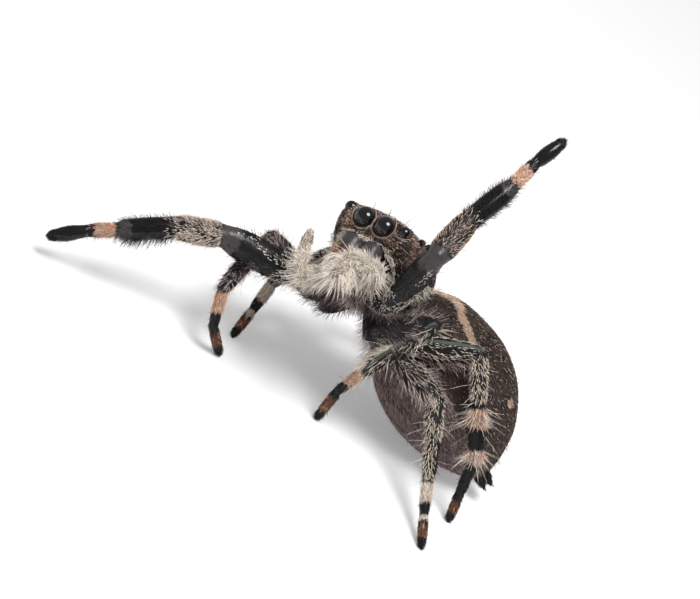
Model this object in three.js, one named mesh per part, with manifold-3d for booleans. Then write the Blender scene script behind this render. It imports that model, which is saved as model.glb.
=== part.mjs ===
// Adult female jumping spider at life size, rearing on her back three pairs of legs.
// Millimetres, +Z up. The head faces -Y, her left side is +X.
// Sizes are those of the outline with its coat of hair.

import * as THREE from "three";
import { mergeVertices } from "three/addons/utils/BufferGeometryUtils.js";
import Module from "manifold-3d";

const wasm = await Module();
wasm.setup();

// ---------- driving dimensions ----------

const GAP = 0.05; // clearance between neighbouring pieces
const FACET_ERROR = 0.02; // how far a cut piece's facets may lie off its true shape
const SIDES = { body: 18, limb: 8, small: 6 };

// The front half of the body (prosoma) is laid out from the waist: x left, y back, z up.
const WAIST_HEIGHT = 4.58;
const PROSOMA_POSE = { pitch: 30, roll: 24.5, yaw: 9.5 };
const ABDOMEN_POSE = { pitch: 25.5, roll: 34, yaw: -56.5 };

// Carapace stations from the waist to the face: distance forward, half width, top, bottom.
const CARAPACE = [
  [-0.05, 0.55, 0.55, -0.1],
  [0.45, 1.4, 1.1, -0.4],
  [1.2, 1.95, 1.55, -0.55],
  [2.1, 2.2, 1.85, -0.6],
  [3.1, 2.15, 1.98, -0.55],
  [4.0, 1.92, 1.98, -0.25],
  [4.65, 1.68, 1.86, 0.3],
  [5.02, 1.42, 1.66, 0.5],
];
const CARAPACE_POWER = 2.5; // 2 is an ellipse, more is squarer

// Eyes: distance sideways, forward and up of the centre, and radius.
const EYES = {
  front_middle: { side: 0.48, forward: 4.9, up: 1.27, radius: 0.45 },
  front_side: { side: 1.29, forward: 4.8, up: 1.43, radius: 0.26 },
  small: { side: 1.72, forward: 3.95, up: 1.62, radius: 0.09 },
  rear: { side: 1.72, forward: 3.05, up: 1.62, radius: 0.22 },
};

// Plates under the prosoma, and the places of the four pairs of coxae along it.
const STERNUM = { forward: 2.4, up: -1.15, halfSizes: [0.9, 1.35, 0.5] };
const LABIUM = { forward: 3.7, up: -1.3, halfSizes: [0.24, 0.36, 0.3] };
const MAXILLA = { side: 0.42, forward: 3.95, up: -1.32, halfSizes: [0.3, 0.42, 0.38] };
const COXA = { side: 0.75, up: -1.05, forward: [3.45, 2.75, 2.05, 1.35], radius: 0.44 };

// The chelicerae hang from the face, bulge forward and narrow to their lower ends, from where
// the folded fangs point inward.
const CHELICERA = {
  side: 0.46,
  forward: 4.68,
  up: 0.42,
  length: 1.95,
  bulge: 0.22,
  radius: 0.46,
  taper: 0.5,
  splay: 0.06,
};
const FANG = { side: 0.68, drop: 0.02, length: 0.6, radius: 0.13, taper: 0.75, curl: 0.22 };

// Pedipalp joints in the prosoma's frame (left, back, up) and the radius at each joint.
const PALP_RADII = [0.26, 0.27, 0.27, 0.27, 0.22];
const PALP_SWELL = 0.02;
const PALPS = {
  left: [
    [0.85, -3.95, -1.0],
    [1.35, -5.15, -0.45],
    [1.15, -5.75, -0.45],
    [0.68, -6.3, -0.7],
    [0.8, -7.1, -1.65],
  ],
  right: [
    [-0.8, -3.95, -1.2],
    [-1.25, -5.15, -2.05],
    [-1.38, -5.75, -1.75],
    [-1.45, -6.1, -1.05],
    [-1.48, -6.25, -0.56],
  ],
};

const PEDICEL = { length: 0.5, radius: 0.3 };

// Abdomen stations from the waist to the rear end: distance back, half width, top, bottom.
const ABDOMEN = [
  [0.1, 0.5, 0.55, -0.3],
  [0.5, 1.2, 1.45, -0.95],
  [1.3, 1.85, 2.3, -1.7],
  [2.5, 2.3, 2.85, -2.25],
  [3.9, 2.5, 3.15, -2.45],
  [5.4, 2.3, 2.95, -2.2],
  [6.8, 1.7, 2.2, -1.55],
  [7.6, 1.05, 1.3, -0.95],
  [8.05, 0.4, 0.5, -0.45],
];
const SPINNERETS = { back: 8.4, spread: 0.2, rise: 0.16, length: 0.6, root: 0.26, tip: 0.17 };

// Leg pairs, front to back. Lengths run from the trochanter to the tip; radii are at each
// segment's two ends; swell is the extra radius halfway along; flat is width over depth.
const SEGMENTS = ["femur", "patella", "tibia", "metatarsus", "tarsus"];
const LEG_PAIRS = [
  {
    lengths: [3.3, 1.98, 2.14, 1.38, 1.37],
    radii: [[0.46, 0.54], [0.5, 0.48], [0.45, 0.43], [0.29, 0.28], [0.25, 0.25]],
    swell: [0.17, 0.03, 0.03, 0, 0.08],
    flat: [0.8, 0.95, 0.95, 1, 1],
  },
  {
    lengths: [2.68, 1.81, 1.77, 1.58, 1.47],
    radii: [[0.42, 0.42], [0.39, 0.37], [0.36, 0.32], [0.28, 0.26], [0.24, 0.23]],
    swell: [0.14, 0.02, 0.02, 0, 0.02],
    flat: [0.8, 1, 1, 1, 1],
  },
  {
    lengths: [2.73, 1.61, 1.58, 1.4, 1.27],
    radii: [[0.42, 0.42], [0.38, 0.35], [0.35, 0.31], [0.28, 0.26], [0.24, 0.23]],
    swell: [0.12, 0.02, 0.02, 0, 0.02],
    flat: [0.8, 1, 1, 1, 1],
  },
  {
    lengths: [3.41, 1.85, 2.29, 1.58, 1.23],
    radii: [[0.42, 0.41], [0.37, 0.34], [0.34, 0.33], [0.28, 0.26], [0.24, 0.23]],
    swell: [0.14, 0.02, 0.02, 0, 0.02],
    flat: [0.8, 1, 1, 1, 1],
  },
];
const SOLE_HEIGHT = 0.15; // height of a standing leg's tip centre over its flat sole

// The pose of each leg: the trochanter in the prosoma's frame (left, back, up), then the
// azimuth and elevation of each segment in degrees. Azimuth 0 is straight ahead, 90 is left.
// A standing leg's last elevation is worked out, so that its sole meets the floor.
const LEG_POSES = {
  leg1_left: {
    trochanter: [1.88, -3.82, -1.33],
    headings: [[77, 82], [-143, 38], [-159, 49], [-151, 53], [-161, 50]],
  },
  leg1_right: {
    trochanter: [-2.25, -3.89, -1.86],
    headings: [[-29, 1], [-21, -16], [-18, -29], [-25, -34], [-23, -39]],
  },
  leg2_left: {
    trochanter: [1.3, -2.67, -2.32],
    headings: [[125, 50], [-56, -73], [-55, -75], [-46, -77], [-38]],
  },
  leg2_right: {
    trochanter: [-1.95, -2.84, -1.95],
    headings: [[-73, 6], [34, -19], [40, -26], [98, -64], [166]],
  },
  leg3_left: {
    trochanter: [1.85, -1.75, -2.37],
    headings: [[129, -9], [88, -41], [82, -39], [80, -38], [83]],
  },
  leg3_right: {
    trochanter: [-2.06, -1.94, -1.74],
    headings: [[-135, 20], [0, -35], [1, -53], [44, -50], [42]],
  },
  leg4_left: {
    trochanter: [1.72, -1.04, -2.05],
    headings: [[134, 35], [108, -49], [110, -53], [100, -72], [108]],
  },
  leg4_right: {
    trochanter: [-1.8, -1.07, -1.82],
    headings: [[-149, 16], [165, -36], [167, -35], [171, -31], [173]],
  },
};

// ---------- materials ----------

function finish(color, roughness, metalness = 0) {
  return new THREE.MeshStandardMaterial({ color, roughness, metalness });
}

const COAT_DARK = finish(0x2b2624, 0.85);
const COAT_BROWN = finish(0x4a3b33, 0.85);
const COAT_CREAM = finish(0xd9cbb8, 0.9);
const BAND_ORANGE = finish(0xd79a72, 0.85);
const EYE_BLACK = finish(0x050506, 0.08);
const FANG_RED = finish(0x4a140c, 0.25);

// ---------- solids ----------

// The mesh in the world's frame, with shared vertices merged and collapsed faces left out.
function worldGeometry(mesh) {
  const bare = mesh.geometry.clone();
  bare.deleteAttribute("normal");
  bare.deleteAttribute("uv");
  const merged = mergeVertices(bare.applyMatrix4(mesh.matrixWorld), 1e-5);
  const index = merged.index.array;
  const kept = [];
  for (let i = 0; i < index.length; i += 3) {
    const [a, b, c] = index.slice(i, i + 3);
    if (a !== b && b !== c && a !== c) kept.push(a, b, c);
  }
  merged.setIndex(kept);
  return merged;
}

function toSolid(geometry) {
  return new wasm.Manifold(
    new wasm.Mesh({
      numProp: 3,
      vertProperties: new Float32Array(geometry.attributes.position.array),
      triVerts: new Uint32Array(geometry.index.array),
    }),
  );
}

function worldSolid(mesh) {
  return toSolid(worldGeometry(mesh));
}

// The mesh a little fatter, to cut a neighbour with.
function fatter(mesh) {
  return worldSolid(mesh).minkowskiSum(wasm.Manifold.sphere(GAP, 4)).simplify(FACET_ERROR);
}

// The mesh takes the shape of a solid that is given in the world's frame.
function setSolid(mesh, solid) {
  const { vertProperties, triVerts } = solid.simplify(FACET_ERROR).getMesh();
  const geometry = new THREE.BufferGeometry();
  geometry.setAttribute("position", new THREE.BufferAttribute(new Float32Array(vertProperties), 3));
  geometry.setIndex(new THREE.BufferAttribute(new Uint32Array(triVerts), 1));
  geometry.applyMatrix4(mesh.matrixWorld.clone().invert());
  geometry.computeVertexNormals();
  mesh.geometry = geometry;
}

// The mesh loses what the cutters take and keeps its largest piece.
function cut(mesh, cutters) {
  const left = cutters.reduce((solid, cutter) => solid.subtract(cutter), worldSolid(mesh));
  const pieces = left.decompose().sort((a, b) => b.volume() - a.volume());
  setSolid(mesh, pieces[0]);
}

// A lathe of unit radius whose rings are then shaped by place(ring, angle) -> Vector3.
// The first and last rings are points.
function ringedGeometry(ringCount, sides, place) {
  const profile = [];
  for (let ring = 0; ring < ringCount; ring += 1) {
    const isEnd = ring === 0 || ring === ringCount - 1;
    profile.push(new THREE.Vector2(isEnd ? 0 : 1, ring));
  }
  const geometry = new THREE.LatheGeometry(profile, sides);
  const { position } = geometry.attributes;
  for (let i = 0; i < position.count; i += 1) {
    const ring = Math.round(position.getY(i));
    const angle = (2 * Math.PI * (Math.floor(i / ringCount) % sides)) / sides;
    const point = place(ring, angle);
    position.setXYZ(i, point.x, point.y, point.z);
  }
  return geometry;
}

// A body lofted along -Y * direction through stations of half width, top and bottom.
function stationGeometry(stations, { direction, power, rings, sides }) {
  const curve = new THREE.CatmullRomCurve3(
    stations.map(([along, halfWidth, top]) => new THREE.Vector3(along, halfWidth, top)),
  );
  const bottoms = new THREE.CatmullRomCurve3(
    stations.map(([along, , , bottom]) => new THREE.Vector3(along, 0, bottom)),
  );
  return ringedGeometry(rings + 2, sides, (ring, angle) => {
    const t = THREE.MathUtils.clamp((ring - 1) / (rings - 1), 0, 1);
    const { x: along, y: halfWidth, z: top } = curve.getPoint(t);
    const bottom = bottoms.getPoint(t).z;
    const middle = (top + bottom) / 2;
    if (ring === 0 || ring === rings + 1) {
      return new THREE.Vector3(0, direction * along, middle);
    }
    const sin = Math.sin(angle);
    const cos = Math.cos(angle);
    const x = Math.sign(sin) * halfWidth * Math.abs(sin) ** (2 / power);
    const z = middle + Math.sign(cos) * ((top - bottom) / 2) * Math.abs(cos) ** (2 / power);
    return new THREE.Vector3(direction * x, direction * along, z);
  });
}

// A limb segment along +Z from 0 to length with round ends, deep in Y and flat in X.
// Each ring has a share of a round end's height, a place along the limb and a share of its radius.
function limbGeometry({ length, start, end, swell, flat, sides }) {
  const middle = swell > 0 ? [[0, 0.15, 1], [0, 0.5, 1], [0, 0.85, 1]] : [[0, 0, 1], [0, 1, 1]];
  const stops = [[-1, 0, 0], [-0.6, 0, 0.8], ...middle, [0.6, 1, 0.8], [1, 1, 0]];
  return ringedGeometry(stops.length, sides, (ring, angle) => {
    const [dome, t, share] = stops[ring];
    const radius = THREE.MathUtils.lerp(start, end, t) + swell * Math.sin(Math.PI * t);
    const reach = share * radius;
    const z = t * length + dome * radius;
    return new THREE.Vector3(-reach * flat * Math.sin(angle), reach * Math.cos(angle), z);
  });
}

function ellipsoid([x, y, z], [widthSegments, heightSegments]) {
  return new THREE.SphereGeometry(1, widthSegments, heightSegments).scale(x, y, z);
}

// ---------- the scene ----------

const spider = new THREE.Group();
const stance = new THREE.Group();
const prosoma = new THREE.Group();
const opisthosoma = new THREE.Group();
spider.add(stance);
stance.add(prosoma, opisthosoma);

function setPose(group, { pitch, roll, yaw }) {
  const [x, y, z] = [-pitch, -roll, yaw].map(THREE.MathUtils.degToRad);
  group.position.set(0, 0, WAIST_HEIGHT);
  group.rotation.set(x, y, z, "ZXY");
}
setPose(prosoma, PROSOMA_POSE);
setPose(opisthosoma, ABDOMEN_POSE);

function addMesh(parent, name, geometry, material) {
  const mesh = new THREE.Mesh(geometry, material);
  mesh.name = name;
  parent.add(mesh);
  return mesh;
}

// A segment from one point to another, its depth turned towards `up`.
function addLimb(parent, name, from, to, shape, material, up = new THREE.Vector3(0, 0, 1)) {
  const axis = to.clone().sub(from);
  const length = axis.length();
  const mesh = addMesh(parent, name, limbGeometry({ length, ...shape }), material);
  const z = axis.normalize();
  const x = new THREE.Vector3().crossVectors(up, z).normalize();
  const y = new THREE.Vector3().crossVectors(z, x);
  mesh.quaternion.setFromRotationMatrix(new THREE.Matrix4().makeBasis(x, y, z));
  mesh.position.copy(from);
  return mesh;
}

// Two segments that share a joint are parted by the plane that halves the bend.
function partAtJoint(solid, joint, before, after, side) {
  const normal = before.clone().normalize().add(after.clone().normalize()).normalize();
  normal.multiplyScalar(side);
  const offset = normal.dot(joint) + GAP / 2;
  return solid.trimByPlane([normal.x, normal.y, normal.z], offset);
}

// ---------- carapace and eyes ----------

const carapace = addMesh(
  prosoma,
  "carapace",
  stationGeometry(CARAPACE, { direction: -1, power: CARAPACE_POWER, rings: 11, sides: SIDES.body }),
  COAT_BROWN,
);

function addEyes() {
  const eyes = [];
  for (const [row, { side, forward, up, radius }] of Object.entries(EYES)) {
    const facets = row === "front_middle" ? [12, 8] : [8, 6];
    for (const [hand, sign] of [["left", 1], ["right", -1]]) {
      const shape = new THREE.SphereGeometry(radius, ...facets);
      const eye = addMesh(prosoma, `eye_${row}_${hand}`, shape, EYE_BLACK);
      eye.position.set(sign * side, -forward, up);
      eye.rotation.set(Math.PI / 2, 0, 0);
      eyes.push(eye);
    }
  }
  return eyes;
}
const eyes = addEyes();

// ---------- chelicerae and fangs ----------

function addChelicera(hand, sign) {
  const { side, forward, up, length, bulge, radius, taper, splay } = CHELICERA;
  const rings = 8;
  const shape = ringedGeometry(rings, SIDES.limb, (ring, angle) => {
    const t = ring / (rings - 1);
    const reach = ring === 0 || ring === rings - 1 ? 0 : radius * (1 - taper * t ** 2.5);
    const lean = bulge * Math.sin(Math.PI * Math.min(1, 1.15 * t + 0.1));
    const x = reach * Math.sin(angle) + sign * splay * t;
    return new THREE.Vector3(x, -lean + reach * Math.cos(angle), -t * length);
  });
  const mesh = addMesh(prosoma, `chelicera_${hand}`, shape, COAT_DARK);
  mesh.position.set(sign * side, -forward, up);
  return mesh;
}

function addFang(hand, sign) {
  const { side, drop, length, radius, taper, curl } = FANG;
  const rings = 7;
  const shape = ringedGeometry(rings, SIDES.small, (ring, angle) => {
    const t = ring / (rings - 1);
    const reach = ring === 0 || ring === rings - 1 ? 0 : radius * (1 - taper * t);
    const arch = curl * Math.sin(Math.PI * t);
    const x = -sign * t * length;
    return new THREE.Vector3(x, sign * reach * Math.sin(angle), reach * Math.cos(angle) - arch);
  });
  const mesh = addMesh(prosoma, `fang_${hand}`, shape, FANG_RED);
  mesh.position.set(sign * side, -CHELICERA.forward, CHELICERA.up - CHELICERA.length + drop);
  return mesh;
}

// ---------- pedipalps ----------

function addPalp(hand) {
  const points = PALPS[hand].map((place) => new THREE.Vector3(...place));
  const parts = [];
  for (let i = 0; i + 1 < points.length; i += 1) {
    const [start, end] = PALP_RADII.slice(i, i + 2);
    const shape = { start, end, swell: PALP_SWELL, flat: 1, sides: SIDES.small };
    parts.push(addLimb(prosoma, "palp_part", points[i], points[i + 1], shape, COAT_CREAM));
  }
  return parts;
}

// Several meshes become one mesh.
function joinMeshes(parent, name, parts, material) {
  spider.updateMatrixWorld(true);
  const mesh = addMesh(parent, name, new THREE.BufferGeometry(), material);
  mesh.updateWorldMatrix(true, false);
  setSolid(mesh, wasm.Manifold.union(parts.map(worldSolid)));
  for (const part of parts) part.removeFromParent();
  return mesh;
}

// ---------- legs ----------

function heading([azimuth, elevation]) {
  const [turn, lift] = [azimuth, elevation].map(THREE.MathUtils.degToRad);
  const flat = Math.cos(lift);
  return new THREE.Vector3(flat * Math.sin(turn), -flat * Math.cos(turn), Math.sin(lift));
}

// Joints of a leg in the world, from the trochanter to the tip.
function legJoints({ trochanter, headings }, lengths) {
  const joints = [prosoma.localToWorld(new THREE.Vector3(...trochanter))];
  headings.forEach(([azimuth, elevation], i) => {
    const last = joints[i];
    const fall = (last.z - SOLE_HEIGHT) / lengths[i];
    const lift = elevation ?? -THREE.MathUtils.radToDeg(Math.asin(Math.min(1, fall)));
    joints.push(last.clone().addScaledVector(heading([azimuth, lift]), lengths[i]));
  });
  return joints;
}

function segmentMaterial(pair, segment) {
  if (segment === "metatarsus") return BAND_ORANGE;
  if (pair > 0 && segment === "patella") return COAT_CREAM;
  return COAT_DARK;
}

// One leg: its coxa from the sternum's edge to the trochanter, then five named segments.
// The floor cuts the soles flat.
function addLeg(name, pose) {
  const pair = Number(name[3]) - 1;
  const sign = name.endsWith("left") ? 1 : -1;
  const { lengths, radii, swell, flat } = LEG_PAIRS[pair];
  const joints = legJoints(pose, lengths);
  const socket = new THREE.Vector3(sign * COXA.side, -COXA.forward[pair], COXA.up);
  const root = prosoma.localToWorld(socket);
  const bones = joints.slice(1).map((joint, i) => joint.clone().sub(joints[i]));
  const bend = new THREE.Vector3().crossVectors(bones[0], bones[1]).normalize();
  const segments = SEGMENTS.map((segment, i) => {
    const [start, end] = radii[i];
    const shape = { start, end, swell: swell[i], flat: flat[i], sides: SIDES.limb };
    const depth = new THREE.Vector3().crossVectors(bones[i], bend);
    const material = segmentMaterial(pair, segment);
    return addLimb(stance, `${name}_${segment}`, joints[i], joints[i + 1], shape, material, depth);
  });
  const coxaShape = { start: COXA.radius, end: radii[0][0], swell: 0, flat: 1, sides: SIDES.limb };
  const coxa = addLimb(stance, "coxa", root, joints[0], coxaShape, COAT_DARK);
  spider.updateMatrixWorld(true);
  const chain = [coxa, ...segments];
  const directions = [joints[0].clone().sub(root), ...bones];
  chain.forEach((mesh, i) => {
    let solid = worldSolid(mesh).trimByPlane([0, 0, 1], 0);
    if (i > 0) {
      solid = partAtJoint(solid, joints[i - 1], directions[i - 1], directions[i], 1);
    }
    if (i + 1 < chain.length) {
      solid = partAtJoint(solid, joints[i], directions[i], directions[i + 1], -1);
    }
    setSolid(mesh, solid);
  });
  return { coxa, segments };
}

// ---------- assembly ----------

spider.updateMatrixWorld(true);

cut(carapace, eyes.map(fatter));

const chelicerae = { left: addChelicera("left", 1), right: addChelicera("right", -1) };
const fangs = { left: addFang("left", 1), right: addFang("right", -1) };
const legs = Object.entries(LEG_POSES).map(([name, pose]) => addLeg(name, pose));

// A plate of the underside: its place forward and up, to one side by `side`, and half sizes.
function addPlate({ forward, up, halfSizes }, side = 0) {
  const plate = addMesh(prosoma, "plate", ellipsoid(halfSizes, [10, 8]), COAT_DARK);
  plate.position.set(side, -forward, up);
  return plate;
}
const plates = [
  addPlate(STERNUM),
  addPlate(LABIUM),
  addPlate(MAXILLA, MAXILLA.side),
  addPlate(MAXILLA, -MAXILLA.side),
];
const coxae = legs.map(({ coxa }) => coxa);
const underside = joinMeshes(prosoma, "sternum", [...plates, ...coxae], COAT_DARK);

const pedipalps = {};
for (const hand of ["left", "right"]) {
  pedipalps[hand] = joinMeshes(prosoma, `pedipalp_${hand}`, addPalp(hand), COAT_CREAM);
}

const pedicel = addMesh(
  prosoma,
  "pedicel",
  new THREE.CylinderGeometry(PEDICEL.radius, PEDICEL.radius, PEDICEL.length, SIDES.limb),
  COAT_DARK,
);

const abdomen = addMesh(
  opisthosoma,
  "abdomen",
  stationGeometry(ABDOMEN, { direction: 1, power: 2, rings: 12, sides: SIDES.body }),
  COAT_BROWN,
);

// The four spinnerets that show make one blunt cluster. The two between them stay hidden.
function addSpinnerets() {
  const { back, spread, rise, length, root, tip } = SPINNERETS;
  const cones = [];
  for (const row of [-1, 1]) {
    for (const column of [-1, 1]) {
      const from = new THREE.Vector3(column * spread, back - length, row * rise);
      const to = new THREE.Vector3(column * spread, back, row * rise);
      const shape = { start: root, end: tip, swell: 0, flat: 1, sides: SIDES.limb };
      cones.push(addLimb(opisthosoma, "cone", from, to, shape, COAT_DARK));
    }
  }
  return joinMeshes(opisthosoma, "spinnerets", cones, COAT_DARK);
}
const spinnerets = addSpinnerets();

spider.updateMatrixWorld(true);

// Where two pieces come too close, the later one in this list gives way to the earlier.
function partPieces(meshes) {
  const solids = meshes.map(worldSolid);
  const cutters = [];
  meshes.forEach((mesh, i) => {
    const inTheWay = solids.slice(0, i).flatMap((solid, j) => (isClose(solid, solids[i]) ? [j] : []));
    if (inTheWay.length === 0) return;
    for (const j of inTheWay) cutters[j] ??= fatter(meshes[j]);
    cut(mesh, inTheWay.map((j) => cutters[j]));
    solids[i] = worldSolid(mesh);
  });
}

function isClose(one, other) {
  return one.minGap(other, GAP) < 0.8 * GAP;
}
partPieces([
  carapace,
  underside,
  ...Object.values(chelicerae),
  ...Object.values(fangs),
  ...Object.values(pedipalps),
  pedicel,
  ...legs.flatMap(({ segments }) => segments),
  abdomen,
  spinnerets,
]);

// The floor is z = 0 and the origin is the middle of the model's box on it.
function centreOnFloor() {
  const box = new THREE.Box3().setFromObject(spider, true);
  const middle = box.getCenter(new THREE.Vector3());
  stance.position.set(-middle.x, -middle.y, -box.min.z);
  spider.updateMatrixWorld(true);
}
centreOnFloor();

export default spider;
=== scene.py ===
"""Adult female regal jumping spider at life size, rearing on her back three pairs of legs.

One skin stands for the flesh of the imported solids. Scales, hairs and bristles grow on it as solid
tufts. Shapes are worked out in millimetres in the row's frame and written in metres.
"""

import itertools
import math
from collections import namedtuple

import bpy
import numpy as np
from mathutils import Matrix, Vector
from mathutils.bvhtree import BVHTree


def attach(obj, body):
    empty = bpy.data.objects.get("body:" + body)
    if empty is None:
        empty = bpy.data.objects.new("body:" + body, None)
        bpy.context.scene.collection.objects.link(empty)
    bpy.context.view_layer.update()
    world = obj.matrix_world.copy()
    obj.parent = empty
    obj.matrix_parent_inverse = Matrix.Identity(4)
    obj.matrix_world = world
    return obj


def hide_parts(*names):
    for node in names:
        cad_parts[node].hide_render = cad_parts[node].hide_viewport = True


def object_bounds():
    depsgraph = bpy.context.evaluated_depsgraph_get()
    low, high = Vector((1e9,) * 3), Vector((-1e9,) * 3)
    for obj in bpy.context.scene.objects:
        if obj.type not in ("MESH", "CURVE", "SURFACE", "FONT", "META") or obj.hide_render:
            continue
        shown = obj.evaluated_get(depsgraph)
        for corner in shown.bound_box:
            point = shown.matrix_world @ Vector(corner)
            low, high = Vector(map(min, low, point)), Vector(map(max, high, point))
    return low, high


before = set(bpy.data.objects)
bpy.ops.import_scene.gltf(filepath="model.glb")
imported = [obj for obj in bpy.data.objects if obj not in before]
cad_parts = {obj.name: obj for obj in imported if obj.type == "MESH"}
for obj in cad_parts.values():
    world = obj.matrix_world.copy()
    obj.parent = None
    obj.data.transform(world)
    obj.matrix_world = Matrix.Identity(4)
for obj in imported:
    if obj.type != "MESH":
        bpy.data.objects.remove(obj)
cad_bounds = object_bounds()
rng = np.random.default_rng(11)

MM = 0.001
SEGMENTS = ("femur", "patella", "tibia", "metatarsus", "tarsus")
SIDES = {"left": 1, "right": -1}
LEG_NAMES = [f"leg{pair}_{side}" for pair in (1, 2, 3, 4) for side in SIDES]

# ---------- the camera, in degrees and millimetres ----------

VIEW_AZIMUTH, VIEW_ELEVATION, VIEW_ROLL = 41.5, 28.0, 38.0
VIEW_DISTANCE = 152.0
VIEW_WIDTH = 27.45  # of the frame at that distance
SENSOR_WIDTH = 36.0
WAIST_IN_VIEW = (1.8, 0.19, -3.8)  # from the middle of that plane: right, up, towards the camera

# ---------- proportions, in millimetres ----------

# Eyes in the head's frame: sideways, forward and up of the centre, and radius.
EYES = {
    "front_middle": (0.48, 4.9, 1.27, 0.45),
    "front_side": (1.29, 4.8, 1.43, 0.26),
    "small": (1.72, 3.95, 1.62, 0.09),
    "rear": (1.72, 3.05, 1.62, 0.22),
}

# Body stations from the waist: distance along, half width, top, bottom.
CARAPACE = [
    (-0.05, 0.55, 0.55, -0.1),
    (0.45, 1.4, 1.1, -0.4),
    (1.2, 1.95, 1.55, -0.55),
    (2.1, 2.2, 1.85, -0.6),
    (3.1, 2.15, 1.98, -0.55),
    (4.0, 1.92, 1.98, -0.25),
    (4.65, 1.68, 1.86, 0.3),
    (5.02, 1.42, 1.66, 0.5),
]
ABDOMEN = [
    (0.1, 0.5, 0.55, -0.3),
    (0.5, 1.2, 1.45, -0.95),
    (1.3, 1.85, 2.3, -1.7),
    (2.5, 2.3, 2.85, -2.25),
    (3.9, 2.5, 3.15, -2.45),
    (5.4, 2.3, 2.95, -2.2),
    (6.8, 1.7, 2.2, -1.55),
    (7.6, 1.05, 1.3, -0.95),
    (8.05, 0.4, 0.5, -0.45),
]
COXA_ROOTS = {"side": 0.75, "up": -1.05, "forward": (3.45, 2.75, 2.05, 1.35), "radius": 0.44}
# Short parts on the left or in the middle: two ends in the frame of the head, or of the abdomen for a
# spinneret, and the radii at the start, the middle and the end.
SHORT_BONES = {
    "chelicera": ((0.46, -4.74, 0.2), (0.5, -4.86, -1.1), (0.56, 0.52, 0.32)),
    "maxilla": ((0.42, -3.8, -1.2), (0.42, -4.1, -1.4), (0.3, 0.3, 0.24)),
    "spinneret": ((0.2, 7.9, 0.16), (0.2, 8.6, 0.16), (0.26, 0.22, 0.15)),
    "sternum": ((0, -3.1, -1.1), (0, -1.7, -1.1), (0.5, 0.6, 0.45)),
    "waist": ((0, -0.3, 0.1), (0, 0.3, 0.1), (0.3, 0.3, 0.3)),
}
FANG_HOOK = ((0.66, -4.72, -1.42), (0.5, -4.72, -1.6), (0.3, -4.72, -1.64), (0.12, -4.72, -1.52))
FANG_RADII = (0.13, 0.11, 0.07, 0.015)

# Joints of the palps in the head's frame (left, back, up) and the radii there.
PALPS = {
    "left": [
        (0.85, -3.95, -1.0),
        (1.35, -5.15, -0.45),
        (1.15, -5.75, -0.45),
        (0.68, -6.3, -0.7),
        (0.8, -7.1, -1.65),
    ],
    "right": [
        (-0.8, -3.95, -1.2),
        (-1.25, -5.15, -2.05),
        (-1.38, -5.75, -1.75),
        (-1.45, -6.1, -1.05),
        (-1.48, -6.25, -0.56),
    ],
}
PALP_RADII = (0.26, 0.27, 0.27, 0.27, 0.22)

# Lengths of each pair's five segments, radii at the two ends of each, and its swelling between.
LEG_LENGTHS = {
    1: (3.3, 1.98, 2.14, 1.38, 1.37),
    2: (2.68, 1.81, 1.77, 1.58, 1.47),
    3: (2.73, 1.61, 1.58, 1.4, 1.27),
    4: (3.41, 1.85, 2.29, 1.58, 1.23),
}
LEG_RADII = {
    1: ((0.46, 0.54), (0.5, 0.48), (0.45, 0.43), (0.29, 0.28), (0.25, 0.25)),
    2: ((0.42, 0.42), (0.39, 0.37), (0.36, 0.32), (0.28, 0.26), (0.24, 0.23)),
    3: ((0.42, 0.42), (0.38, 0.35), (0.35, 0.31), (0.28, 0.26), (0.24, 0.23)),
    4: ((0.42, 0.41), (0.37, 0.34), (0.34, 0.33), (0.28, 0.26), (0.24, 0.23)),
}
LEG_SWELLS = {
    1: (0.17, 0.03, 0.03, 0, 0.08),
    2: (0.14, 0.02, 0.02, 0, 0.02),
    3: (0.12, 0.02, 0.02, 0, 0.02),
    4: (0.14, 0.02, 0.02, 0, 0.02),
}
# Each leg's root in the head's frame (left, back, up), and its segments' headings in the row's
# frame: azimuth and elevation in degrees.
LEG_POSES = {
    "leg1_left": ((1.88, -3.82, -1.33), (77, 82), (-143, 38), (-159, 49), (-151, 53), (-161, 50)),
    "leg1_right": ((-2.25, -3.89, -1.86), (-29, 1), (-21, -16), (-18, -29), (-25, -34), (-23, -39)),
    "leg2_left": ((1.3, -2.67, -2.32), (125, 50), (-56, -73), (-55, -75), (-46, -77), (-38,)),
    "leg2_right": ((-1.95, -2.84, -1.95), (-73, 6), (34, -19), (40, -26), (98, -64), (166,)),
    "leg3_left": ((1.85, -1.75, -2.37), (129, -9), (88, -41), (82, -39), (80, -38), (83,)),
    "leg3_right": ((-2.06, -1.94, -1.74), (-135, 20), (0, -35), (1, -53), (44, -50), (42,)),
    "leg4_left": ((1.72, -1.04, -2.05), (134, 35), (108, -49), (110, -53), (100, -72), (108,)),
    "leg4_right": ((-1.8, -1.07, -1.82), (-149, 16), (165, -36), (167, -35), (171, -31), (173,)),
}
SOLE_HEIGHT = 0.15  # of the last joint above the floor
COAT_DEPTH = {"body": 0.07, "limb": 0.06, "sleek": 0.02}

# ---------- colours ----------


def linear(code):
    """Linear RGB of a colour written as in a paint program."""
    parts = [int(code[i : i + 2], 16) / 255 for i in (0, 2, 4)]
    return np.array([((c + 0.055) / 1.055) ** 2.4 if c > 0.04 else c / 12.92 for c in parts])


BLACK = linear("0c0b0d")
CHARCOAL = linear("1f1c1e")
SLATE = linear("4e4848")
TAUPE = linear("5c4c44")
MAUVE = linear("a89092")
BRONZE = linear("7a604f")
CREAM = linear("fff1e1")
WHITE = linear("fff9f0")
BLUSH = linear("ecd8cc")
SALMON = linear("eeb795")
FAWN = linear("e2bd9f")
IVORY = linear("f8e8cc")
RUST = linear("74492f")
UMBER = linear("1e1613")
OLIVE = linear("545c57")
EYE_BLACK = linear("050506")
FANG_RED = linear("32100a")

# ---------- small helpers ----------


def unit(vectors):
    vectors = np.asarray(vectors, float)
    return vectors / np.maximum(np.linalg.norm(vectors, axis=-1, keepdims=True), 1e-12)


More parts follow.
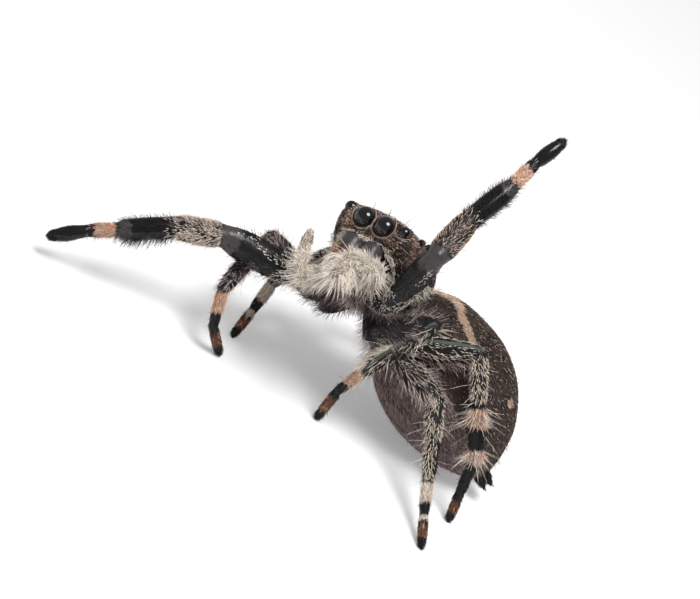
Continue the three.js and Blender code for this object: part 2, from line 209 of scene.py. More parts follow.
def dot(a, b):
    return (a * b).sum(-1)


def across(vectors, normals):
    """The part of the vectors that lies across the normals, made unit length."""
    return unit(vectors - dot(vectors, normals)[..., None] * normals)


def smooth_step(low, high, values):
    t = np.clip((values - low) / (high - low), 0, 1)
    return t * t * (3 - 2 * t)


def blend(a, b, share):
    return a + (b - a) * np.asarray(share)[..., None]


LUMPS = np.random.default_rng(3).random(4096)
LUMP_STEPS = (1571, 883, 3001)  # in that list, so that neighbours have unrelated values


def lumps(points, size):
    """Smooth random lumps about so many millimetres across, from 0 to 1."""
    cell = np.floor(points / size).astype(int)
    share = points / size - cell
    share = share * share * (3 - 2 * share)
    total = np.zeros(len(points))
    for corner in np.ndindex(2, 2, 2):
        value = LUMPS[(cell + corner) @ LUMP_STEPS % len(LUMPS)]
        total += value * np.prod(np.where(corner, share, 1 - share), axis=1)
    return total


def spline(table, count):
    """A table's rows joined by a smooth curve of so many evenly spaced rows."""
    rows = np.array(table, float)
    rows = np.vstack([2 * rows[0] - rows[1], rows, 2 * rows[-1] - rows[-2]])
    at = np.linspace(0, len(rows) - 3 - 1e-9, count)
    i = at.astype(int)
    t = (at - i)[:, None]
    a, b, c, d = rows[i], rows[i + 1], rows[i + 2], rows[i + 3]
    return b + 0.5 * t * (c - a + t * (2 * a - 5 * b + 4 * c - d + t * (3 * (b - c) + d - a)))


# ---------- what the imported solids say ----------


def read(rows, field, kind=float):
    """A field of three values from every row of a mesh."""
    values = np.empty(len(rows) * 3, kind)
    rows.foreach_get(field, values)
    return values.reshape(-1, 3)


def triangles_of(mesh):
    mesh.calc_loop_triangles()
    return read(mesh.loop_triangles, "vertices", np.int32)


def centre_of(node):
    """The centre of mass of a CAD node, in millimetres."""
    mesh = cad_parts[node].data
    a, b, c = (read(mesh.vertices, "co")[corners] / MM for corners in triangles_of(mesh).T)
    volumes = dot(a, np.cross(b, c)) / 6
    return (volumes[:, None] * (a + b + c) / 4).sum(0) / volumes.sum()


# A frame of reference: rows of axes point left, back and up.
Place = namedtuple("Place", "origin axes")


def outward(place, points):
    return place.origin + np.asarray(points, float) @ place.axes


def inward(place, points):
    return (points - place.origin) @ place.axes.T


def head_place():
    """The head's frame, from where its eyes are."""
    middles = {}
    lefts = []
    for row in EYES:
        left, right = (centre_of(f"eye_{row}_{side}") for side in SIDES)
        middles[row] = (left + right) / 2
        lefts.append(left - right)
    left = unit(np.sum(lefts, 0))
    rise, run = (EYES["rear"][i] - EYES["front_middle"][i] for i in (2, 1))
    slope = unit(middles["rear"] - middles["front_middle"])
    square = unit(np.cross(left, slope))
    tilt = math.atan2(rise, -run)
    back = slope * math.cos(tilt) - square * math.sin(tilt)
    up = slope * math.sin(tilt) + square * math.cos(tilt)
    _, forward, height, _ = EYES["rear"]
    origin = middles["rear"] + back * forward - up * height
    return Place(origin, np.array([left, back, up]))


def abdomen_place(waist):
    """The abdomen's frame: its axis runs from the waist to the spinnerets, and it bulges upward."""
    back = unit(centre_of("spinnerets") - waist)
    up = across(centre_of("abdomen") - waist, back)
    return Place(waist, np.array([np.cross(back, up), back, up]))


head = head_place()
abdomen = abdomen_place(head.origin)
# A body's frame, its stations, their direction (-1 is forward) and how boxy its outline is.
BODIES = ((head, CARAPACE, -1, 2.5), (abdomen, ABDOMEN, 1, 2.0))

# ---------- bones: the round-ended lengths that limbs are made of ----------

# `dorsal` points to a limb's upper side and `flank` to its front side; `flat` is width over depth.
Bone = namedtuple("Bone", "kind limb start end radii dorsal flank flat")
FLATNESS = {"femur": 0.8}


def make_bone(kind, limb, start, end, radii, dorsal):
    along = unit(end - start)
    dorsal = across(dorsal, along)
    flank = np.cross(along, dorsal)
    if limb.endswith("right"):
        flank = -flank
    return Bone(kind, limb, start, end, radii, dorsal, flank, FLATNESS.get(kind, 1.0))


def heading(azimuth, elevation):
    """A direction in the row's frame: 0 degrees azimuth is forward, 90 is the row's right."""
    a, e = math.radians(azimuth), math.radians(elevation)
    return np.array([math.cos(e) * math.sin(a), -math.cos(e) * math.cos(a), math.sin(e)])


def leg_bones(leg):
    """Bones of a leg from its pose. A last heading without elevation puts the sole on the floor."""
    pair = int(leg[3])
    root, *headings = LEG_POSES[leg]
    points = [outward(head, root)]
    for length, direction in zip(LEG_LENGTHS[pair], headings):
        if len(direction) == 1:
            drop = points[-1][2] - SOLE_HEIGHT
            direction = (*direction, -math.degrees(math.asin(min(1, drop / length))))
        points.append(points[-1] + length * heading(*direction))
    knee = points[1] - (points[0] + points[3]) / 2
    made = []
    for i, segment in enumerate(SEGMENTS):
        start, end = LEG_RADII[pair][i]
        radii = (start, (start + end) / 2 + LEG_SWELLS[pair][i], end)
        made.append(make_bone(segment, leg, points[i], points[i + 1], radii, knee))
    return made


def coxa_bone(leg, trochanter):
    pair, side = int(leg[3]) - 1, SIDES[leg[5:]]
    root = outward(head, (side * COXA_ROOTS["side"], -COXA_ROOTS["forward"][pair], COXA_ROOTS["up"]))
    return make_bone("coxa", leg, root, trochanter, (COXA_ROOTS["radius"],) * 3, head.axes[2])


def palp_bones(side):
    points = outward(head, PALPS[side])
    bones = []
    for i, (start, end) in enumerate(zip(points, points[1:])):
        radii = (PALP_RADII[i], (PALP_RADII[i] + PALP_RADII[i + 1]) / 2, PALP_RADII[i + 1])
        bones.append(make_bone(f"palp{i}", f"palp_{side}", start, end, radii, head.axes[2]))
    return bones


def short_bone(kind, limb, place, dorsal, mirror=(1, 1, 1)):
    start, end, radii = SHORT_BONES[kind]
    return make_bone(kind, limb, *outward(place, np.array([start, end]) * mirror), radii, dorsal)


def body_bones():
    """Short thick bones for the mouthparts, the plate below the head, the waist and the spinnerets."""
    up = head.axes[2]
    made = []
    for side, sign in SIDES.items():
        made.append(short_bone("chelicera", f"jaw_{side}", head, -head.axes[1], (sign, 1, 1)))
        made.append(short_bone("maxilla", "mouth", head, -head.axes[1], (sign, 1, 1)))
        for rise in (1, -1):
            made.append(short_bone("spinneret", "spinnerets", abdomen, abdomen.axes[2], (sign, 1, rise)))
    return made + [short_bone(kind, kind, head, up) for kind in ("sternum", "waist")]


bones = body_bones()
for leg in LEG_NAMES:
    segments = leg_bones(leg)
    bones += [coxa_bone(leg, segments[0].start), *segments]
for side in SIDES:
    bones += palp_bones(side)
PINCH = 0.1  # how much of its radius a limb loses at a joint
PINCH_REACH = 0.14


def bone_radius(bone, t):
    """Radius along a bone's length, drawn in at both joints, without the coat."""
    start, middle, end = bone.radii
    straight = start + (end - start) * t
    swell = (middle - (start + end) / 2) * np.sin(np.pi * t)
    length = np.linalg.norm(bone.end - bone.start)
    joint = np.minimum(t, 1 - t) * length
    pinch = 1 - PINCH * np.exp(-((joint / PINCH_REACH) ** 2))
    sleek = bone.limb.startswith("leg1") or bone.kind == "palp3"
    return (straight + swell) * pinch - COAT_DEPTH["sleek" if sleek else "limb"]


# ---------- the skin ----------


def closed_loft(rings, first, last):
    """Points and faces of a tube through rings of points, closed to a point at each end."""
    count, sides = rings.shape[:2]
    points = np.vstack([first[None], rings.reshape(-1, 3), last[None]])
    faces = []
    for side in range(sides):
        after = (side + 1) % sides
        faces.append((0, 1 + after, 1 + side))
        for ring in range(count - 1):
            a, b = 1 + ring * sides, 1 + (ring + 1) * sides
            faces.append((a + side, a + after, b + after, b + side))
        end = 1 + (count - 1) * sides
        faces.append((end + side, end + after, len(points) - 1))
    return points, faces


def circle(sides):
    angles = np.arange(sides) * 2 * np.pi / sides
    return np.cos(angles), np.sin(angles)


END_ANGLES = (25, 50, 75)  # of the rings over a bone's round end
BONE_RINGS = 13


def bone_loft(bone, sides=24):
    """A bone's surface: rings over its length and over both round ends."""
    along = unit(bone.end - bone.start)
    stops = [(-angle, 0.0) for angle in END_ANGLES[::-1]]
    stops += [(0, t) for t in np.linspace(0, 1, BONE_RINGS)]
    stops += [(angle, 1.0) for angle in END_ANGLES]
    cos, sin = circle(sides)
    rings = []
    for angle, t in stops:
        radius = bone_radius(bone, t)
        middle = bone.start + (bone.end - bone.start) * t + along * radius * math.sin(math.radians(angle))
        reach = radius * math.cos(math.radians(angle))
        ring = middle + reach * (cos[:, None] * bone.dorsal + bone.flat * sin[:, None] * bone.flank)
        rings.append(ring)
    first = bone.start - along * bone_radius(bone, 0.0)
    last = bone.end + along * bone_radius(bone, 1.0)
    return closed_loft(np.array(rings), first, last)


def station_loft(place, table, direction, power, count=48, sides=64):
    """A body's surface through its stations, without the coat. The direction is -1 for forward."""
    cos, sin = circle(sides)
    depth = COAT_DEPTH["body"]
    rings = []
    for along, half_width, top, bottom in spline(table, count):
        middle, half_height = (top + bottom) / 2, (top - bottom) / 2
        x = np.sign(sin) * np.abs(sin) ** (2 / power) * (half_width - depth)
        z = middle + np.sign(cos) * np.abs(cos) ** (2 / power) * (half_height - depth)
        rings.append(outward(place, np.stack([x, np.full(sides, direction * along), z], 1)))
    ends = [outward(place, (0, direction * row[0], (row[2] + row[3]) / 2)) for row in (table[0], table[-1])]
    return closed_loft(np.array(rings), *ends)


def ball_loft(middle, radius, sides=24, rings=11):
    """A ball, its poles along the head's length."""
    cos, sin = circle(sides)
    pole = -head.axes[1]
    flat = cos[:, None] * head.axes[0] + sin[:, None] * head.axes[2]
    angles = np.linspace(-math.pi / 2, math.pi / 2, rings + 2)[1:-1]
    layers = [middle + radius * (flat * math.cos(angle) + pole * math.sin(angle)) for angle in angles]
    return closed_loft(np.array(layers), middle - radius * pole, middle + radius * pole)


def eye_centre(row, side):
    sideways, forward, up, _ = EYES[row]
    return outward(head, (SIDES[side] * sideways, -forward, up))


EYE_KEYS = list(itertools.product(EYES, SIDES))
EYE_RIM = 0.03  # how far the mound round an eye and its bare rim reach beyond it
MOUND_DEPTH = (0.1, 0.4)  # how far behind its eye a mound lies: a length, and a share of the radius


def eye_mounds():
    """The low mounds that the eyes sit in."""
    mounds = []
    for row, side in EYE_KEYS:
        radius = EYES[row][3]
        sunk = head.axes[1] * (MOUND_DEPTH[0] + MOUND_DEPTH[1] * radius)
        mounds.append(ball_loft(eye_centre(row, side) + sunk, radius + EYE_RIM))
    return mounds


def new_object(name, mesh, material=None):
    thing = bpy.data.objects.new(name, mesh)
    bpy.context.scene.collection.objects.link(thing)
    if material:
        mesh.materials.append(material)
    return thing


def loft_mesh(name, lofts, scale=MM):
    """One mesh of all these lofts, smooth shaded, in metres unless another scale is given."""
    points, faces, offset = [], [], 0
    for loft_points, loft_faces in lofts:
        points.append(loft_points)
        faces += [tuple(offset + i for i in face) for face in loft_faces]
        offset += len(loft_points)
    mesh = bpy.data.meshes.new(name)
    mesh.from_pydata((np.vstack(points) * scale).tolist(), [], faces)
    mesh.shade_smooth()
    return mesh


VOXEL = 0.07  # the size of the cells that the surfaces are joined in
RELAX_SHARE, RELAX_ROUNDS = 0.5, 5


def make_skin():
    """All surfaces joined into one smooth closed skin: a mesh in millimetres."""
    lofts = [station_loft(*body) for body in BODIES] + eye_mounds() + [bone_loft(bone) for bone in bones]
    parts = new_object("parts", loft_mesh("parts", lofts, scale=1))
    remesh = parts.modifiers.new("join", "REMESH")
    remesh.mode = "VOXEL"
    remesh.voxel_size = VOXEL
    relax = parts.modifiers.new("relax", "SMOOTH")
    relax.factor = RELAX_SHARE
    relax.iterations = RELAX_ROUNDS
    depsgraph = bpy.context.evaluated_depsgraph_get()
    joined = bpy.data.meshes.new_from_object(parts.evaluated_get(depsgraph))
    bpy.data.objects.remove(parts)
    return joined


# ---------- where a point of the skin is ----------

# The part is 0 for the carapace, 1 for the abdomen and 2 onwards for the bones.
Spots = namedtuple("Spots", "part t angle")
OUTLINE_ROWS = 60


def body_depth(place, table, direction, power, points):
    """Rough distance out of a body's surface, its share of the length, and the angle from the top."""
    local = inward(place, points)
    rows = spline(table, OUTLINE_ROWS)
    along = direction * local[:, 1]
    half_width, top, bottom = (np.interp(along, rows[:, 0], rows[:, i]) for i in (1, 2, 3))
    across_x = local[:, 0] / half_width
    across_z = (local[:, 2] - (top + bottom) / 2) / ((top - bottom) / 2)
    ratio = (np.abs(across_x) ** power + np.abs(across_z) ** power) ** (1 / power)
    beyond = np.maximum(rows[0, 0] - along, along - rows[-1, 0])
    outside = np.maximum((ratio - 1) * (half_width + top - bottom) / 3 + COAT_DEPTH["body"], beyond)
    t = np.clip((along - rows[0, 0]) / (rows[-1, 0] - rows[0, 0]), 0, 1)
    return outside, t, np.arctan2(across_x, across_z)


def bone_depth(bone, points):
    """Distance out of a bone's surface, the share of its length, and the angle from its upper side."""
    along = bone.end - bone.start
    t = np.clip((points - bone.start) @ along / dot(along, along), 0, 1)
    off = points - (bone.start + t[:, None] * along)
    high, wide = off @ bone.dorsal, off @ bone.flank
    reach = np.sqrt(dot(off, off) + (wide / bone.flat) ** 2 - wide**2)
    return reach - bone_radius(bone, t), t, np.arctan2(wide, high)


def locate(points):
    """The part each point lies on, with its share of the length and its angle round it."""
    found = [body_depth(*body, points) for body in BODIES] + [bone_depth(bone, points) for bone in bones]
    part = np.argmin([depth for depth, _, _ in found], axis=0)
    each = np.arange(len(points))
    t = np.array([t for _, t, _ in found])[part, each]
    angle = np.array([angle for _, _, angle in found])[part, each]
    return Spots(part, t, angle)


# ---------- the coat's markings ----------

# The lying coat: two colours and the second one's share, a scale's length and width, its tilt off
# the skin in degrees, scales per square millimetre, and the gloss of the skin under them.
Style = namedtuple("Style", "first second share length width lift density gloss")
STYLES = {
    "bare": Style(OLIVE, OLIVE, 0.0, 0.1, 0.02, 8, 1, 1.0),
    "glossy": Style(BLACK, CHARCOAL, 0.2, 0.13, 0.016, 6, 24, 1.0),
    "sleek": Style(BLACK, CHARCOAL, 0.2, 0.18, 0.024, 8, 90, 0.5),
    "black": Style(BLACK, CHARCOAL, 0.35, 0.22, 0.026, 10, 170, 0.5),
    "grizzled": Style(BLACK, SLATE, 0.4, 0.22, 0.026, 14, 180, 0.3),
    "cream": Style(BLUSH, CREAM, 0.6, 0.24, 0.028, 18, 260, 0.0),
    "pearl": Style(CREAM, WHITE, 0.5, 0.24, 0.028, 18, 320, 0.0),
    "straw": Style(CREAM, TAUPE, 0.35, 0.15, 0.028, 14, 300, 0.0),
    "pink": Style(BLUSH, SALMON, 0.35, 0.24, 0.028, 20, 260, 0.0),
    "salmon": Style(SALMON, BLUSH, 0.3, 0.2, 0.028, 18, 300, 0.0),
    "fawn": Style(FAWN, CREAM, 0.25, 0.2, 0.028, 18, 300, 0.0),
    "rust": Style(RUST, SALMON, 0.14, 0.16, 0.028, 16, 300, 0.2),
    "slate": Style(SLATE, CHARCOAL, 0.3, 0.12, 0.018, 8, 50, 0.65),
    "jaw": Style(CHARCOAL, SLATE, 0.6, 0.12, 0.018, 8, 40, 0.62),
    "bronze": Style(UMBER, BRONZE, 0.42, 0.12, 0.03, 14, 540, 0.0),
    "dusky": Style(CHARCOAL, BRONZE, 0.45, 0.14, 0.03, 14, 520, 0.0),
    "taupe": Style(TAUPE, UMBER, 0.35, 0.18, 0.032, 12, 310, 0.0),
    "belly": Style(MAUVE, TAUPE, 0.4, 0.2, 0.03, 16, 300, 0.0),
    "sooty": Style(BLACK, CHARCOAL, 0.5, 0.18, 0.028, 20, 220, 0.1),
}
STYLE = {name: row for row, name in enumerate(STYLES)}
COLUMN = {field: np.array([getattr(style, field) for style in STYLES.values()]) for field in Style._fields}

# Bands of style along each segment, with the share of its length where each gives way to the next.
BANDS = {
    1: {
        "femur": ("sleek", 0.84, "slate"),
        "patella": ("slate", 0.12, "grizzled"),
        "tibia": ("grizzled", 0.12, "glossy", 0.86, "slate"),
        "metatarsus": ("salmon", 0.74, "black"),
        "tarsus": ("glossy", 0.9, "sooty"),
    },
    2: {
        "femur": ("black", 0.3, "grizzled"),
        "patella": ("grizzled",),
        "tibia": ("grizzled", 0.8, "black"),
        "metatarsus": ("black", 0.06, "salmon", 0.62, "black"),
        "tarsus": ("sooty", 0.2, "rust", 0.68, "sooty"),
    },
    3: {
        "femur": ("black", 0.25, "grizzled"),
        "patella": ("grizzled",),
        "tibia": ("grizzled", 0.55, "black", 0.8, "grizzled"),
        "metatarsus": ("black", 0.12, "cream", 0.65, "black"),
        "tarsus": ("cream", 0.22, "black", 0.34, "rust", 0.78, "sooty"),
    },
    4: {
        "femur": ("black",),
        "patella": ("grizzled",),
        "tibia": ("black", 0.12, "pink", 0.42, "black", 0.86, "pink"),
        "metatarsus": ("pink", 0.12, "sooty"),
        "tarsus": ("sooty", 0.3, "rust", 0.7, "sooty"),
    },
}
RAGGED = 0.08  # how far a band's edge strays, as a share of its segment's length
RAGGED_LUMP, STRIPE_LUMP = 0.1, 0.12  # how far it is between strays, of a band and of the side stripes
OTHER_PARTS = {
    "coxa": "black",
    "chelicera": "jaw",
    "maxilla": "jaw",
    "sternum": "sooty",
    "waist": "sooty",
    "spinneret": "sooty",
    "palp0": "pearl",
    "palp1": "pearl",
    "palp2": "pearl",
    "palp3": "straw",
}
# Bare shining stripes along some segments: the angle of the stripe's middle, and half its width.
BARE_STRIPES = {
    ("leg2_left", "patella"): 2.0,
    ("leg2_left", "tibia"): 2.0,
    ("leg4_left", "femur"): 0.5,
    ("leg4_right", "femur"): 0.5,
}
BARE_HALF = 0.22

# The pale side stripes of the abdomen: share of its length, angle from the top, half width.
STRIPE = [
    (0.02, 0.3, 0.25),
    (0.14, 0.42, 0.17),
    (0.21, 0.76, 0.12),
    (0.28, 0.88, 0.09),
    (0.35, 0.97, 0.06),
    (0.42, 1.02, 0.02),
]
SPOT = (0.715, 0.71, 0.022, 0.1)  # share of its length, angle, and half its size in each
STRIPE_WIDTH, STRIPE_STRAY = 0.7, 0.6  # the share of its width it always has, and what lumps add
BELLY_ANGLE = 1.75
DUSKY = {"above": 1.7, "behind": 3.0}  # where the carapace is duskier: up and forward in the head's frame
# The pale lower edge of the face: its height in front, where it starts to fall backwards, its fall
# per millimetre back, and half its width in front and where it ends.
FACE_EDGE = {"height": 0.55, "turn": 4.8, "fall": 0.62, "end": 3.6, "halves": (0.055, 0.015)}


def face_edge(points):
    """Which points are on the face's pale lower edge, and which are below it."""
    _, back, up = inward(head, points).T
    behind = np.maximum(FACE_EDGE["turn"] + back, 0)
    rise = up - FACE_EDGE["height"] + FACE_EDGE["fall"] * behind
    half = np.interp(behind, (0, FACE_EDGE["turn"] - FACE_EDGE["end"]), FACE_EDGE["halves"])
    in_reach = back < -FACE_EDGE["end"]
    return in_reach & (np.abs(rise) < half), in_reach & (rise < -half)


def carapace_styles(points):
    """Bronze on the face and sides, duskier on top and behind, and sooty below the face's edge."""
    _, back, up = inward(head, points).T
    chosen = np.full(len(points), STYLE["bronze"])
    chosen[(up > DUSKY["above"]) | (back > -DUSKY["behind"])] = STYLE["dusky"]
    on_edge, below = face_edge(points)
    chosen[below] = STYLE["sooty"]
    chosen[on_edge] = STYLE["bronze"]
    return chosen


def abdomen_styles(points, t, angle):
    """Velvety brown with a pale stripe and spot on each side and a mauve belly."""
    side = np.abs(angle)
    middle, half = (np.interp(t, *np.array(STRIPE)[:, [0, i]].T) for i in (1, 2))
    ragged = half * (STRIPE_WIDTH + STRIPE_STRAY * lumps(points, STRIPE_LUMP))
    in_stripe = (np.abs(side - middle) < ragged) & (t > STRIPE[0][0]) & (t < STRIPE[-1][0])
    spot_t, spot_angle, half_t, half_angle = SPOT
    in_spot = ((t - spot_t) / half_t) ** 2 + ((side - spot_angle) / half_angle) ** 2 < 1
    chosen = np.full(len(t), STYLE["taupe"])
    chosen[side > BELLY_ANGLE] = STYLE["belly"]
    chosen[in_stripe | in_spot] = STYLE["fawn"]
    return chosen


def styles_at(points, spots):
    """The index of the style at each spot."""
    chosen = np.zeros(len(points), int)
    here = np.flatnonzero(spots.part == 0)
    chosen[here] = carapace_styles(points[here])
    here = np.flatnonzero(spots.part == 1)
    chosen[here] = abdomen_styles(points[here], spots.t[here], spots.angle[here])
    for i, bone in enumerate(bones):
        here = np.flatnonzero(spots.part == i + 2)
        if bone.kind in OTHER_PARTS:
            chosen[here] = STYLE[OTHER_PARTS[bone.kind]]
            continue
        bands = BANDS[int(bone.limb[3])][bone.kind]
        reach = spots.t[here] + RAGGED * (lumps(points[here], RAGGED_LUMP) - 0.5)
        styles = np.array([STYLE[name] for name in bands[::2]])
        chosen[here] = styles[np.searchsorted(bands[1::2], reach)]
        middle = BARE_STRIPES.get((bone.limb, bone.kind))
        if middle:
            in_stripe = np.abs(spots.angle[here] - middle) < BARE_HALF
            chosen[here[in_stripe]] = STYLE["bare"]
    return chosen


# ---------- the hairs over the coat ----------

# Where hairs grow, how many per square millimetre, their length and width, their tilt off the skin
# in degrees and the two colours they mix. The place is a test, or limbs and their segments. Those can
# have a span of the length, a middle and half width of the angle round it, and a comb: the way the
# hairs are drawn, in the head's frame.
Hair = namedtuple(
    "Hair",
    "where density length width lift first second span around comb",
    defaults=[(0, 1), (0, 180), (0, 0, 0)],
)


def on_limbs(place, span, around):
    """A test for hairs on limbs' segments, given as in "leg1/leg2 femur"."""
    limbs, kinds = (tuple(names.split("/")) for names in place.split())
    middle, half = np.radians(around)
    on_them = [False, False] + [bone.limb.startswith(limbs) and bone.kind in kinds for bone in bones]

    def test(points, spots):
        turned = np.abs((spots.angle - middle + np.pi) % (2 * np.pi) - np.pi)
        in_span = (spots.t >= span[0]) & (spots.t <= span[1])
        return np.array(on_them)[spots.part] & in_span & (turned <= half)

    return test


def on_head(sideways, forward, up):
    """A test for hairs on the carapace, on both sides, within a box in the head's frame."""

    def test(points, spots):
        place = inward(head, points) * (1, -1, 1)
        place[:, 0] = np.abs(place[:, 0])
        inside = spots.part == 0
        for axis, (low, high) in enumerate((sideways, forward, up)):
            inside &= (place[:, axis] >= low) & (place[:, axis] <= high)
        return inside

    return test


def on_face_edge(points, spots):
    """A test for hairs on the face's pale lower edge."""
    return (spots.part == 0) & face_edge(points)[0]


def on_abdomen(span, side):
    """A test for hairs on the abdomen, by the share of its length and the angle from its top."""

    def test(points, spots):
        angle = np.abs(spots.angle)
        inside = (spots.part == 1) & (spots.t >= span[0]) & (spots.t <= span[1])
        return inside & (angle >= side[0]) & (angle <= side[1])

    return test


